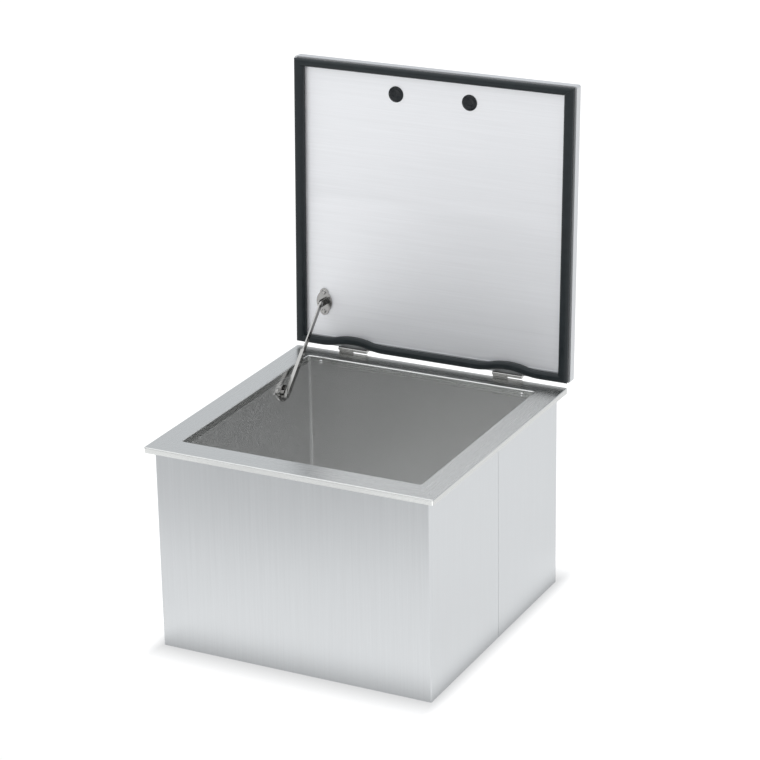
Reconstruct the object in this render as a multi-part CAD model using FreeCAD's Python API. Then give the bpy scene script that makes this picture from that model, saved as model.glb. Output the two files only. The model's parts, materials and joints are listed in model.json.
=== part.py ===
import FreeCAD, Part
import math
import os

# Drop-in cooler: an insulated steel tub that hangs in a counter by its flange, with a hinged, insulated lid.
# Millimetres. The origin is the centre of the drain outlet in the base plane; +Z is up and the front is -Y.
# The lid is drawn closed and then turned open about the hinge axis.

Vec = FreeCAD.Vector
X_AXIS = Vec(1, 0, 0)
Y_AXIS = Vec(0, 1, 0)
Z_AXIS = Vec(0, 0, 1)

# Overall size and sheet metal
flange_width = 508.0
flange_depth = 514.0
body_height = 350.0
flange_sheet = 1.5
casing_sheet = 1.2
liner_sheet = 1.2
lid_sheet = 1.2
bend_radius = 2.0
sheet_corner_radius = 3.0
fastener_clearance = 0.1
foam_clearance = 0.3
moving_clearance = 0.3

# Flange: lip, hem that sits on the counter, and skirt turned down into the tub
lip_drop = 9.5
hem_width = 10.0
side_margin = 43.0
front_margin = 47.0
rear_margin = 39.0
skirt_drop = 12.5
opening_corner_radius = 4.0

# Casing of two wraps that meet at a lapped seam on each side, and a recessed base pan
flange_overhang = 13.0
seam_y = 8.0
seam_gap = 0.6
seam_lap = 14.0
base_return = 16.0
pan_height = 14.0

# Liner floor, which falls to the drain
floor_height = 50.0
floor_fall = 4.0
floor_ledge = 10.0
drain_pad = 84.0
skirt_rivet_inset = 23.0
skirt_rivet_drop = 8.5
rivet_head_radius = 3.2
rivet_head_height = 1.3
rivet_edge_share = 0.3
rivet_shank_radius = 1.6

# Drain fitting
drain_flange_radius = 30.0
drain_flange_thickness = 2.0
drain_gasket_thickness = 1.5
drain_tail_radius = 16.0
drain_socket_radius = 12.5
drain_socket_length = 24.0
drain_waterway_radius = 10.0
drain_throat_radius = 15.0
drain_throat_depth = 10.0
locknut_across_flats = 46.0
locknut_height = 9.0
locknut_chamfer = 2.0
stopper_taper = 0.8
stopper_rim_radius = 19.0
stopper_rim_height = 3.0
stopper_neck_radius = 5.0
stopper_neck_height = 9.0
stopper_knob_radius = 9.0

# Lid
lid_overhang = 2.5
lid_depth = 501.5
lid_height = 19.0
lid_rear_setback = 1.5
lid_bend_radius = 4.0
lid_hem = 16.0
lid_open_angle = 92.1
seal_gap = 11.0
seal_side_inset = 2.5
seal_end_inset = 0.6
seal_width = 14.5
seal_corner_radius = 3.0
seal_round = 3.6
seal_wave_depth = 7.5
seal_wave_half = 60.0

# Lid handle and the plugs over its bolts
handle_centres = 134.0
handle_inset = 47.0
handle_length = 190.0
handle_radius = 6.0
handle_end_round = 2.0
handle_standoff = 36.0
handle_post_radius = 5.0
handle_foot_radius = 8.5
handle_foot_height = 3.0
handle_foot_chamfer = 1.2
bolt_radius = 2.5
bolt_head_radius = 4.5
bolt_head_height = 3.5
bolt_reach = 14.0
washer_radius = 7.0
washer_thickness = 1.0
plug_head_radius = 13.5
plug_head_height = 2.6
plug_head_slope = 5.0
plug_edge = 0.8
plug_stem_radius = 11.0
plug_stem_length = 4.0
plug_bead = 1.0
access_bore_radius = 13.5

# Hinges
hinge_spacing = 290.0
hinge_length = 54.0
hinge_rise = 6.0
hinge_setback = 0.5
knuckle_radius = 3.2
knuckle_gap = 0.4
hinge_pin_radius = 1.8
hinge_pin_clearance = 0.05
leaf_thickness = 1.5
base_leaf_drop = 8.5
lid_leaf_rise = 15.0
leaf_rivet_spacing = 36.0

# Folding stay on the left
stay_wall_offset = 8.0
stay_foot_setback = 92.6
stay_foot_drop = 37.6
stay_lower_length = 57.0
stay_lid_offset = 76.8
stay_lid_standoff = 14.0
bar_width = 8.5
bar_thickness = 2.5
stay_pivot_radius = 2.0
stay_pivot_clearance = 0.05
channel_width = 6.0
channel_sheet = 1.0
channel_depth = 9.5
channel_web_clearance = 0.5
channel_overhang = 27.0
channel_foot_overhang = 8.0
channel_end_radius = 2.5
stay_rivet_head_radius = 3.0
stay_rivet_head_height = 1.1
bracket_sheet = 2.0
bracket_length = 48.0
bracket_screws = 34.0
bracket_end_width = 16.0
bracket_middle_width = 29.0
lid_bracket_ear_radius = 5.5
ear_sheet = 1.5
ear_gap = 3.5
wall_bracket_tilt = -20.5
wall_boss_radius = 7.0
screw_head_radius = 4.2
screw_head_height = 1.8
screw_shank_radius = 1.7

# Places worked out from the sizes above
flange_left = -flange_width / 2
flange_right = flange_width / 2
flange_front = -flange_depth / 2
flange_rear = flange_depth / 2
lip_bottom = body_height - lip_drop
plate_underside = body_height - flange_sheet
opening = (flange_left + side_margin, flange_right - side_margin,
           flange_front + front_margin, flange_rear - rear_margin)
skirt_bottom = body_height - skirt_drop
casing = (flange_left + flange_overhang, flange_right - flange_overhang,
          flange_front + flange_overhang, flange_rear - flange_overhang)
casing_corner = bend_radius
floor_low = floor_height - floor_fall
drain_seat = floor_low - drain_flange_thickness - drain_gasket_thickness
lid_bottom = body_height + seal_gap
lid_top = lid_bottom + lid_height
lid_rear = flange_rear - lid_rear_setback
lid_front = lid_rear - lid_depth
lid_plan = (flange_left - lid_overhang, flange_right + lid_overhang, lid_front, lid_rear)
panel_face = lid_bottom + lid_sheet
panel_top = panel_face + lid_sheet
foam_bottom = panel_top + foam_clearance
shell_underside = lid_top - lid_sheet
handle_y = lid_front + handle_inset
handle_xs = {"left": -handle_centres / 2, "right": handle_centres / 2}
hinge_xs = {"left": -hinge_spacing / 2, "right": hinge_spacing / 2}
base_leaf_rear = flange_rear + leaf_thickness
lid_leaf_rear = lid_rear + leaf_thickness
hinge_y = flange_rear - hinge_setback
hinge_z = body_height + hinge_rise
base_rivet_z = (lip_bottom + flange_sheet + plate_underside) / 2
lid_rivet_z = lid_bottom + lid_sheet + (lid_height - lid_sheet) / 2
stay_x = opening[0] + stay_wall_offset
stay_foot = Vec(stay_x, opening[3] - stay_foot_setback, body_height - stay_foot_drop)
liner_left = opening[0] - flange_sheet


def turn_open(shape):
    """Turn a lid piece from its closed place to the open one, about the hinge axis."""
    opened = shape.copy()
    opened.rotate(Vec(0, hinge_y, hinge_z), X_AXIS, -lid_open_angle)
    return opened


stay_head_closed = Vec(stay_x, lid_rear - stay_lid_offset, panel_face - stay_lid_standoff)
stay_head = turn_open(Part.Vertex(stay_head_closed)).Point
stay_reach = stay_head.sub(stay_foot)
stay_upper_length = stay_reach.Length - stay_lower_length
stay_angle = math.degrees(math.atan2(stay_reach.z, stay_reach.y))
stay_elbow = stay_foot + stay_reach * (stay_lower_length / stay_reach.Length)


def block(plan, low, high):
    """Upright block over a plan of left, right, front and rear."""
    left, right, front, rear = plan
    return Part.makeBox(right - left, rear - front, high - low, Vec(left, front, low))


def grown(plan, amount):
    """A plan moved outwards on every side, or inwards for a negative amount."""
    left, right, front, rear = plan
    return (left - amount, right + amount, front - amount, rear + amount)


def rounded_block(plan, low, high, radius):
    """Upright block with round vertical corners."""
    solid = block(plan, low, high)
    upright = [edge for edge in solid.Edges if abs(edge.tangentAt(edge.FirstParameter).z) > 0.9]
    return solid.makeFillet(radius, upright)


def round_edges_at(solid, height, radius):
    """Round the edges that lie wholly at one height."""
    level = [edge for edge in solid.Edges
             if abs(edge.BoundBox.ZMin - height) < 1e-4 and abs(edge.BoundBox.ZMax - height) < 1e-4]
    return solid.makeFillet(radius, level)


def rod(radius, start, end):
    """Round bar between two points."""
    return Part.makeCylinder(radius, end.sub(start).Length, start, end.sub(start))


def cross_rod(radius, centre, half_length):
    """Round bar along X, centred on a point."""
    return rod(radius, centre - X_AXIS * half_length, centre + X_AXIS * half_length)


def lathe(profile, seat=Vec(0, 0, 0), direction=Z_AXIS):
    """Turned piece from points of radius and height, set on a seat along a direction."""
    points = [Vec(radius, 0, height) for radius, height in profile]
    face = Part.Face(Part.makePolygon(points + [points[0]]))
    solid = face.revolve(Vec(0, 0, 0), Z_AXIS, 360)
    solid.Placement = FreeCAD.Placement(seat, FreeCAD.Rotation(Z_AXIS, direction))
    return solid


def headed_pin(head_radius, head_height, shank_radius, shank_length, seat, direction):
    """Rivet or screw with a domed head on its seat and a plain shank behind it."""
    edge = head_height * rivet_edge_share
    rise = head_height - edge
    ball = (head_radius ** 2 + rise ** 2) / (2 * rise)
    half_angle = math.asin(head_radius / ball) / 2
    rim = Vec(head_radius, 0, edge)
    crown = Vec(0, 0, head_height)
    shoulder = Vec(ball * math.sin(half_angle), 0, head_height - ball * (1 - math.cos(half_angle)))
    outline = Part.makePolygon([crown, Vec(0, 0, -shank_length), Vec(shank_radius, 0, -shank_length),
                                Vec(shank_radius, 0, 0), Vec(head_radius, 0, 0), rim]).Edges
    dome = Part.Arc(rim, shoulder, crown).toShape()
    solid = Part.Face(Part.Wire(outline + [dome])).revolve(Vec(0, 0, 0), Z_AXIS, 360)
    solid.Placement = FreeCAD.Placement(seat, FreeCAD.Rotation(Z_AXIS, direction))
    return solid


def rivet(grip, seat, direction):
    """Blind rivet through sheets of a total thickness."""
    return headed_pin(rivet_head_radius, rivet_head_height, rivet_shank_radius, grip, seat, direction)


def screw(grip, seat, direction):
    """Round-head screw through sheets of a total thickness."""
    return headed_pin(screw_head_radius, screw_head_height, screw_shank_radius, grip, seat, direction)


def link(start, end, radius, x_low, x_high):
    """Flat bar across X with fully round ends about two points."""
    along = Vec(0, end.y - start.y, end.z - start.z).normalize() * radius
    across = Vec(0, -along.z, along.y)
    first = Vec(x_low, start.y, start.z)
    last = Vec(x_low, end.y, end.z)
    edges = [Part.LineSegment(first + across, last + across).toShape(),
             Part.Arc(last + across, last + along, last - across).toShape(),
             Part.LineSegment(last - across, first - across).toShape(),
             Part.Arc(first - across, first - along, first + across).toShape()]
    return Part.Face(Part.Wire(edges)).extrude(Vec(x_high - x_low, 0, 0))


def skirt_rivet_seats():
    """Places of the skirt rivets on the front and rear walls, each with the way its head faces."""
    left, right, front, rear = opening
    height = body_height - skirt_rivet_drop
    seats = []
    for x in (left + skirt_rivet_inset, right - skirt_rivet_inset):
        seats.append((Vec(x, front, height), Y_AXIS))
        seats.append((Vec(x, rear, height), -Y_AXIS))
    return seats


def leaf_rivet_seats(leaf_rear, height):
    """Places of the hinge rivets on the rear face of the leaves."""
    return [Vec(x + side * leaf_rivet_spacing / 2, leaf_rear, height)
            for x in hinge_xs.values() for side in (-1, 1)]


def base_rivet_seats():
    return leaf_rivet_seats(base_leaf_rear, base_rivet_z)


def lid_rivet_seats():
    return leaf_rivet_seats(lid_leaf_rear, lid_rivet_z)


def wall_bracket_axis():
    """Long direction of the bracket plate on the tub wall."""
    tilt = math.radians(wall_bracket_tilt)
    return Vec(0, math.cos(tilt), math.sin(tilt))


def wall_screw_seats():
    """Places of the two screws of the stay's wall bracket."""
    along = wall_bracket_axis() * (bracket_screws / 2)
    middle = Vec(liner_left + bracket_sheet, stay_foot.y, stay_foot.z)
    return [middle - along, middle + along]


def lid_screw_seats():
    """Places of the two screws of the stay's lid bracket, with the lid closed."""
    middle = Vec(stay_x, stay_head_closed.y, panel_face - bracket_sheet)
    return [middle - Y_AXIS * (bracket_screws / 2), middle + Y_AXIS * (bracket_screws / 2)]


def drill(solid, seats, radius, direction, depth):
    """Clearance holes, each from a seat along a direction."""
    for seat in seats:
        solid = solid.cut(rod(radius + fastener_clearance, seat - direction, seat + direction * depth))
    return solid


def make_top_flange():
    outer_plan = (flange_left, flange_right, flange_front, flange_rear)
    frame = rounded_block(outer_plan, lip_bottom, body_height, sheet_corner_radius)
    frame = round_edges_at(frame, body_height, bend_radius)
    inside = rounded_block(grown(outer_plan, -flange_sheet), lip_bottom + flange_sheet, plate_underside,
                           sheet_corner_radius - flange_sheet)
    hem_mouth = block(grown(outer_plan, -hem_width), lip_bottom, plate_underside)
    frame = frame.cut(inside).cut(hem_mouth)
    skirt = rounded_block(grown(opening, flange_sheet), skirt_bottom, plate_underside,
                          opening_corner_radius + flange_sheet)
    frame = frame.fuse(skirt).removeSplitter()
    frame = frame.cut(rounded_block(opening, skirt_bottom, body_height, opening_corner_radius))
    rim = [edge for edge in frame.Edges
           if edge.BoundBox.ZMin > body_height - 1e-4 and abs(edge.CenterOfMass.x) < opening[1] + 1e-3
           and opening[2] - 1e-3 < edge.CenterOfMass.y < opening[3] + 1e-3]
    frame = frame.makeFillet(bend_radius, rim)
    for seat, faces in skirt_rivet_seats():
        frame = drill(frame, [seat], rivet_shank_radius, -faces, flange_sheet * 2)
    depth = leaf_thickness + flange_sheet * 2
    return drill(frame, base_rivet_seats(), rivet_shank_radius, -Y_AXIS, depth)


def casing_tube():
    """The whole casing before it is parted into two wraps: four walls with a return round the base."""
    tube = rounded_block(casing, 0, plate_underside, casing_corner)
    inside = rounded_block(grown(casing, -casing_sheet), casing_sheet, plate_underside,
                           casing_corner - casing_sheet)
    return tube.cut(inside).cut(block(grown(casing, -base_return), 0, casing_sheet))


def make_front_wrap():
    left, right, front, _ = casing
    return casing_tube().common(block((left, right, front, seam_y - seam_gap / 2), 0, plate_underside))


def make_rear_wrap():
    left, right, _, rear = casing
    wrap = casing_tube().common(block((left, right, seam_y + seam_gap / 2, rear), 0, plate_underside))
    for outer, inward in ((left, 1), (right, -1)):
        near = outer + inward * casing_sheet
        far = near + inward * casing_sheet
        tab = (min(near, far), max(near, far), seam_y - seam_lap, seam_y + seam_lap)
        wrap = wrap.fuse(block(tab, casing_sheet, plate_underside))
    return wrap.removeSplitter()


def pan_plan():
    """Plan of the base pan, inside the wraps and the laps of their seams."""
    left, right, front, rear = grown(casing, -casing_sheet - foam_clearance)
    return (left + casing_sheet, right - casing_sheet, front, rear)


def make_bottom_pan():
    top = pan_height + casing_sheet
    pan = rounded_block(pan_plan(), casing_sheet, top, casing_corner)
    pan = round_edges_at(pan, top, casing_sheet)
    pan = pan.cut(block(grown(pan_plan(), -casing_sheet), casing_sheet, pan_height))
    return pan.cut(rod(drain_tail_radius + foam_clearance, Vec(0, 0, 0), Vec(0, 0, top)))


def square_wire(plan, height):
    left, right, front, rear = plan
    corners = [Vec(left, front, height), Vec(right, front, height),
               Vec(right, rear, height), Vec(left, rear, height)]
    return Part.makePolygon(corners + [corners[0]])


def tub_form(growth):
    """Space of the tub down to its drain pocket, grown by a wall thickness."""
    plan = grown(opening, flange_sheet)
    form = rounded_block(grown(plan, growth), floor_height - growth, plate_underside,
                         opening_corner_radius + flange_sheet + growth)
    pad = (-drain_pad / 2, drain_pad / 2, -drain_pad / 2, drain_pad / 2)
    basin = Part.makeLoft([square_wire(grown(plan, -floor_ledge), floor_height - growth),
                           square_wire(pad, floor_low - growth)], True, True)
    pocket_radius = drain_flange_radius + foam_clearance + growth
    pocket = rod(pocket_radius, Vec(0, 0, drain_seat - growth), Vec(0, 0, floor_low - growth))
    return form.fuse(basin).fuse(pocket).removeSplitter()


def drain_passage(high):
    return rod(drain_tail_radius + foam_clearance, Vec(0, 0, 0), Vec(0, 0, high))


def make_inner_liner():
    liner = tub_form(liner_sheet).cut(tub_form(0)).cut(drain_passage(floor_height))
    for seat, faces in skirt_rivet_seats():
        liner = drill(liner, [seat], rivet_shank_radius, -faces, flange_sheet + liner_sheet * 2)
    return drill(liner, wall_screw_seats(), screw_shank_radius, -X_AXIS, bracket_sheet + liner_sheet * 2)


def make_body_insulation():
    plan = grown(casing, -2 * casing_sheet - foam_clearance)
    foam = block(plan, pan_height + casing_sheet + foam_clearance, plate_underside - foam_clearance)
    return foam.cut(tub_form(liner_sheet + foam_clearance)).cut(drain_passage(floor_height))


def make_liner_rivets():
    grip = flange_sheet + liner_sheet
    return Part.makeCompound([rivet(grip, seat, faces) for seat, faces in skirt_rivet_seats()])


def make_drain_body():
    throat_floor = floor_low - drain_throat_depth
    under_flange = floor_low - drain_flange_thickness
    return lathe([(drain_socket_radius, 0), (drain_tail_radius, 0), (drain_tail_radius, under_flange),
                  (drain_flange_radius, under_flange), (drain_flange_radius, floor_low),
                  (drain_throat_radius, floor_low), (drain_throat_radius, throat_floor),
                  (drain_waterway_radius, throat_floor), (drain_waterway_radius, drain_socket_length),
                  (drain_socket_radius, drain_socket_length)])


def make_drain_gasket():
    inner = drain_tail_radius + foam_clearance
    return lathe([(inner, drain_seat), (drain_flange_radius, drain_seat),
                  (drain_flange_radius, drain_seat + drain_gasket_thickness),
                  (inner, drain_seat + drain_gasket_thickness)])


def make_drain_locknut():
    corner = locknut_across_flats / math.sqrt(3)
    low = pan_height - locknut_height
    points = [Vec(corner * math.cos(math.radians(60 * step)), corner * math.sin(math.radians(60 * step)), low)
              for step in range(7)]
    nut = Part.Face(Part.makePolygon(points)).extrude(Z_AXIS * locknut_height)
    flat = locknut_across_flats / 2
    shoulder = low + locknut_chamfer
    cone = lathe([(0, low), (flat, low), (corner, shoulder), (corner, pan_height), (0, pan_height)])
    bore = rod(drain_tail_radius + fastener_clearance, Vec(0, 0, low), Vec(0, 0, pan_height))
    return nut.common(cone).cut(bore)


def make_drain_stopper():
    plug_radius = drain_throat_radius - moving_clearance
    plug_end = floor_low - drain_throat_depth + moving_clearance
    rim_top = floor_low + stopper_rim_height
    neck_top = rim_top + stopper_neck_height
    body = lathe([(0, plug_end), (plug_radius - stopper_taper, plug_end), (plug_radius, floor_low),
                  (stopper_rim_radius, floor_low), (stopper_rim_radius, floor_low + stopper_rim_height / 2),
                  (stopper_rim_radius - stopper_rim_height / 2, rim_top), (stopper_neck_radius, rim_top),
                  (stopper_neck_radius, neck_top), (0, neck_top)])
    knob = Part.makeSphere(stopper_knob_radius, Vec(0, 0, neck_top + stopper_knob_radius / 2))
    return body.fuse(knob).removeSplitter()


def make_base_leaf(x):
    half = hinge_length / 2
    axis = Vec(x, hinge_y, hinge_z)
    barrel = rod(knuckle_radius, axis - X_AXIS * half, axis - X_AXIS * (knuckle_gap / 2))
    low = body_height - base_leaf_drop
    neck = block((x - half, x - knuckle_gap / 2, flange_rear, base_leaf_rear), low, hinge_z)
    plate = block((x - half, x + half, flange_rear, base_leaf_rear), low, body_height - moving_clearance)
    leaf = barrel.fuse([neck, plate]).cut(cross_rod(hinge_pin_radius + hinge_pin_clearance, axis, half + 1))
    return drill(leaf.removeSplitter(), base_rivet_seats(), rivet_shank_radius, -Y_AXIS, leaf_thickness * 2)


def make_lid_leaf(x):
    half = hinge_length / 2
    axis = Vec(x, hinge_y, hinge_z)
    top = lid_bottom + lid_leaf_rise
    barrel = rod(knuckle_radius, axis + X_AXIS * (knuckle_gap / 2), axis + X_AXIS * half)
    neck = block((x + knuckle_gap / 2, x + half, lid_rear, lid_leaf_rear), hinge_z, top)
    plate = block((x - half, x + half, lid_rear, lid_leaf_rear), lid_bottom + moving_clearance, top)
    leaf = barrel.fuse([neck, plate]).cut(cross_rod(hinge_pin_radius + hinge_pin_clearance, axis, half + 1))
    return drill(leaf.removeSplitter(), lid_rivet_seats(), rivet_shank_radius, -Y_AXIS, leaf_thickness * 2)


def make_leaf_rivets(seats, wall):
    grip = leaf_thickness + wall
    return Part.makeCompound([rivet(grip, seat, Y_AXIS) for seat in seats])


def make_lid_outer_shell():
    shell = rounded_block(lid_plan, lid_bottom, lid_top, lid_bend_radius)
    shell = round_edges_at(shell, lid_top, lid_bend_radius)
    inner_radius = lid_bend_radius - lid_sheet
    inside = rounded_block(grown(lid_plan, -lid_sheet), panel_face, shell_underside, inner_radius)
    inside = round_edges_at(inside, shell_underside, inner_radius)
    shell = shell.cut(inside).cut(block(grown(lid_plan, -lid_hem), lid_bottom, panel_face))
    bolt_seats = [Vec(x, handle_y, shell_underside) for x in handle_xs.values()]
    shell = drill(shell, bolt_seats, bolt_radius, Z_AXIS, lid_sheet * 2)
    depth = leaf_thickness + lid_sheet * 2
    return drill(shell, lid_rivet_seats(), rivet_shank_radius, -Y_AXIS, depth)


def make_lid_inner_panel():
    plan = grown(lid_plan, -lid_sheet - foam_clearance)
    panel = rounded_block(plan, panel_face, panel_top, lid_bend_radius)
    plug_seats = [Vec(x, handle_y, panel_face) for x in handle_xs.values()]
    panel = drill(panel, plug_seats, plug_stem_radius, Z_AXIS, lid_sheet * 2)
    return drill(panel, lid_screw_seats(), screw_shank_radius, Z_AXIS, bracket_sheet + lid_sheet * 2)


def make_lid_insulation():
    foam_top = shell_underside - foam_clearance
    foam = rounded_block(grown(lid_plan, -lid_sheet - foam_clearance), foam_bottom, foam_top, lid_bend_radius)
    foam = round_edges_at(foam, foam_top, lid_bend_radius)
    for x in handle_xs.values():
        foam = foam.cut(rod(access_bore_radius, Vec(x, handle_y, foam_bottom), Vec(x, handle_y, lid_top)))
    return foam


def seal_outline(inset, corner_radius):
    """Closed outline of the seal, inset from its outer edge; its rear run bows forward round each hinge."""
    left = lid_plan[0] + seal_side_inset + inset
    right = lid_plan[1] - seal_side_inset - inset
    front = lid_front + seal_end_inset + inset
    rear = lid_rear - seal_end_inset - inset
    level = lid_bottom
    half = seal_wave_half
    depth = seal_wave_depth
    sweep = (half ** 2 + depth ** 2) / (4 * depth)
    bend = math.asin(half / 2 / sweep) / 2
    edges = []

    def line(start, end):
        edges.append(Part.LineSegment(Vec(*start, level), Vec(*end, level)).toShape())

    def arc(start, middle, end):
        edges.append(Part.Arc(Vec(*start, level), Vec(*middle, level), Vec(*end, level)).toShape())

    def corner(x, y, x_in, y_in, start, end):
        reach = corner_radius * (1 - math.sqrt(0.5))
        arc(start, (x + x_in * reach, y + y_in * reach), end)

    r = corner_radius
    line((left + r, front), (right - r, front))
    corner(right, front, -1, 1, (right - r, front), (right, front + r))
    line((right, front + r), (right, rear - r))
    corner(right, rear, -1, -1, (right, rear - r), (right - r, rear))
    here = (right - r, rear)
    for x in sorted(hinge_xs.values(), reverse=True):
        line(here, (x + half, rear))
        shift = sweep * math.sin(bend)
        dip = sweep * (1 - math.cos(bend))
        arc((x + half, rear), (x + half - shift, rear - dip), (x + half / 2, rear - depth / 2))
        arc((x + half / 2, rear - depth / 2), (x, rear - depth), (x - half / 2, rear - depth / 2))
        arc((x - half / 2, rear - depth / 2), (x - half + shift, rear - dip), (x - half, rear))
        here = (x - half, rear)
    line(here, (left + r, rear))
    corner(left, rear, 1, -1, (left + r, rear), (left, rear - r))
    line((left, rear - r), (left, front + r))
    corner(left, front, 1, 1, (left, front + r), (left + r, front))
    return Part.Wire(edges)


def make_lid_gasket():
    outer = Part.Face(seal_outline(0, seal_corner_radius + seal_round))
    inner = Part.Face(seal_outline(seal_width, seal_corner_radius))
    height = seal_gap - moving_clearance
    ring = outer.cut(inner).extrude(Z_AXIS * -height)
    return round_edges_at(ring, lid_bottom - height, seal_round)


def make_hole_plug(x):
    bead_radius = plug_stem_radius + plug_bead
    bead_start = lid_sheet + fastener_clearance
    crown_radius = plug_head_radius - plug_head_slope
    return lathe([(0, plug_head_height), (crown_radius, plug_head_height),
                  (plug_head_radius - plug_edge, plug_head_height - plug_edge), (plug_head_radius, plug_edge),
                  (plug_head_radius, 0), (plug_stem_radius, 0), (plug_stem_radius, -bead_start),
                  (bead_radius, -bead_start - plug_bead / 2), (plug_stem_radius, -bead_start - plug_bead),
                  (plug_stem_radius - plug_bead, -plug_stem_length), (0, -plug_stem_length)],
                 Vec(x, handle_y, panel_face), -Z_AXIS)


def handle_axis(x):
    return Vec(x, handle_y, lid_top + handle_standoff)


def make_handle_bar():
    bar = cross_rod(handle_radius, handle_axis(0), handle_length / 2)
    ends = [edge for edge in bar.Edges if edge.Closed]
    return bar.makeFillet(handle_end_round, ends)


def make_handle_post(x):
    shoulder = handle_foot_height - handle_foot_chamfer
    post = lathe([(0, 0), (handle_foot_radius, 0), (handle_foot_radius, shoulder),
                  (handle_foot_radius - handle_foot_chamfer, handle_foot_height),
                  (handle_post_radius, handle_foot_height), (handle_post_radius, handle_standoff),
                  (0, handle_standoff)], Vec(x, handle_y, lid_top))
    post = post.cut(cross_rod(handle_radius + fastener_clearance, handle_axis(x), handle_foot_radius * 2))
    return drill(post, [Vec(x, handle_y, lid_top)], bolt_radius, Z_AXIS, bolt_reach)


def make_handle_bolts():
    under_washer = shell_underside - washer_thickness
    shank = washer_thickness + lid_sheet + bolt_reach - fastener_clearance
    bolts = []
    for x in handle_xs.values():
        seat = Vec(x, handle_y, under_washer)
        bolts.append(headed_pin(bolt_head_radius, bolt_head_height, bolt_radius, shank, seat, -Z_AXIS))
    return Part.makeCompound(bolts)


def make_handle_washers():
    inner = bolt_radius + fastener_clearance
    ring = [(inner, 0), (washer_radius, 0), (washer_radius, washer_thickness), (inner, washer_thickness)]
    return Part.makeCompound([lathe(ring, Vec(x, handle_y, shell_underside - washer_thickness))
                              for x in handle_xs.values()])


def bracket_plate():
    """Bracket plate with bowed sides and round ends, flat on XY with its length along Y."""
    end_half = bracket_end_width / 2
    shoulder = (bracket_length - bracket_end_width) / 2
    corners = [Vec(end_half, shoulder, 0), Vec(-end_half, shoulder, 0),
               Vec(-end_half, -shoulder, 0), Vec(end_half, -shoulder, 0)]
    middles = [Vec(0, bracket_length / 2, 0), Vec(-bracket_middle_width / 2, 0, 0),
               Vec(0, -bracket_length / 2, 0), Vec(bracket_middle_width / 2, 0, 0)]
    sides = [Part.Arc(corners[turn], middles[turn], corners[(turn + 1) % 4]).toShape() for turn in range(4)]
    return Part.Face(Part.Wire(sides)).extrude(Z_AXIS * bracket_sheet)


def make_stay_lid_bracket():
    pivot = stay_head_closed
    root = Vec(stay_x, pivot.y, panel_face - bracket_sheet)
    bracket = bracket_plate()
    bracket.translate(root)
    for side in (-1, 1):
        near = stay_x + side * ear_gap / 2
        far = near + side * ear_sheet
        low = min(near, far)
        ear = link(pivot, root, lid_bracket_ear_radius, low, low + ear_sheet)
        behind = block((low, low + ear_sheet, pivot.y - bracket_length, pivot.y + bracket_length),
                       root.z, root.z + bracket_length)
        bracket = bracket.fuse(ear.cut(behind))
    bracket = bracket.removeSplitter()
    bracket = bracket.cut(cross_rod(stay_pivot_radius + fastener_clearance, pivot, bracket_middle_width))
    return drill(bracket, lid_screw_seats(), screw_shank_radius, Z_AXIS, bracket_sheet * 2)


def make_stay_lid_screws():
    grip = bracket_sheet + lid_sheet
    return Part.makeCompound([screw(grip, seat, -Z_AXIS) for seat in lid_screw_seats()])


def headed_across(centre, reach):
    """Rivet along X with a domed head at each end, its heads seated a reach from the centre."""
    halves = [headed_pin(stay_rivet_head_radius, stay_rivet_head_height, stay_pivot_radius, reach,
                         centre + X_AXIS * (side * reach), X_AXIS * side) for side in (-1, 1)]
    return halves[0].fuse(halves[1]).removeSplitter()


def make_stay_lid_pin():
    return headed_across(stay_head_closed, ear_gap / 2 + ear_sheet)


def make_stay_upper_bar():
    half = bar_thickness / 2
    bar = link(stay_elbow, stay_head, bar_width / 2, stay_x - half, stay_x + half)
    for centre in (stay_elbow, stay_head):
        bar = bar.cut(cross_rod(stay_pivot_radius + stay_pivot_clearance, centre, bar_thickness))
    return bar


def make_stay_channel():
    web_inside = bar_width / 2 + channel_web_clearance
    web_outside = web_inside + channel_sheet
    half = channel_width / 2
    ends = (-channel_foot_overhang, stay_lower_length + channel_overhang)
    channel = block((stay_x - half, stay_x + half) + ends, web_outside - channel_depth, web_outside)
    mouth_corners = [edge for edge in channel.Edges
                     if edge.BoundBox.XLength > half and edge.BoundBox.ZMax < web_inside]
    channel = channel.makeFillet(channel_end_radius, mouth_corners)
    inner = half - channel_sheet
    trough = (stay_x - inner, stay_x + inner) + ends
    channel = channel.cut(block(trough, web_outside - channel_depth, web_inside))
    hole_radius = stay_pivot_radius + fastener_clearance
    for along in (0, stay_lower_length):
        channel = channel.cut(cross_rod(hole_radius, Vec(stay_x, along, 0), channel_width))
    channel.rotate(Vec(0, 0, 0), X_AXIS, stay_angle)
    channel.translate(Vec(0, stay_foot.y, stay_foot.z))
    return channel


def make_stay_wall_bracket():
    along = wall_bracket_axis()
    plate = bracket_plate()
    turn = FreeCAD.Rotation(along.cross(X_AXIS), along, X_AXIS, "ZYX")
    plate.Placement = FreeCAD.Placement(Vec(liner_left, stay_foot.y, stay_foot.z), turn)
    face = Vec(liner_left + bracket_sheet, stay_foot.y, stay_foot.z)
    boss_end = stay_x - channel_width / 2 - stay_rivet_head_height - moving_clearance
    boss = rod(wall_boss_radius, face, Vec(boss_end, stay_foot.y, stay_foot.z))
    return drill(plate.fuse(boss), wall_screw_seats(), screw_shank_radius, -X_AXIS, bracket_sheet * 2)


def make_stay_wall_screws():
    grip = bracket_sheet + liner_sheet
    return Part.makeCompound([screw(grip, seat, X_AXIS) for seat in wall_screw_seats()])


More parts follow.
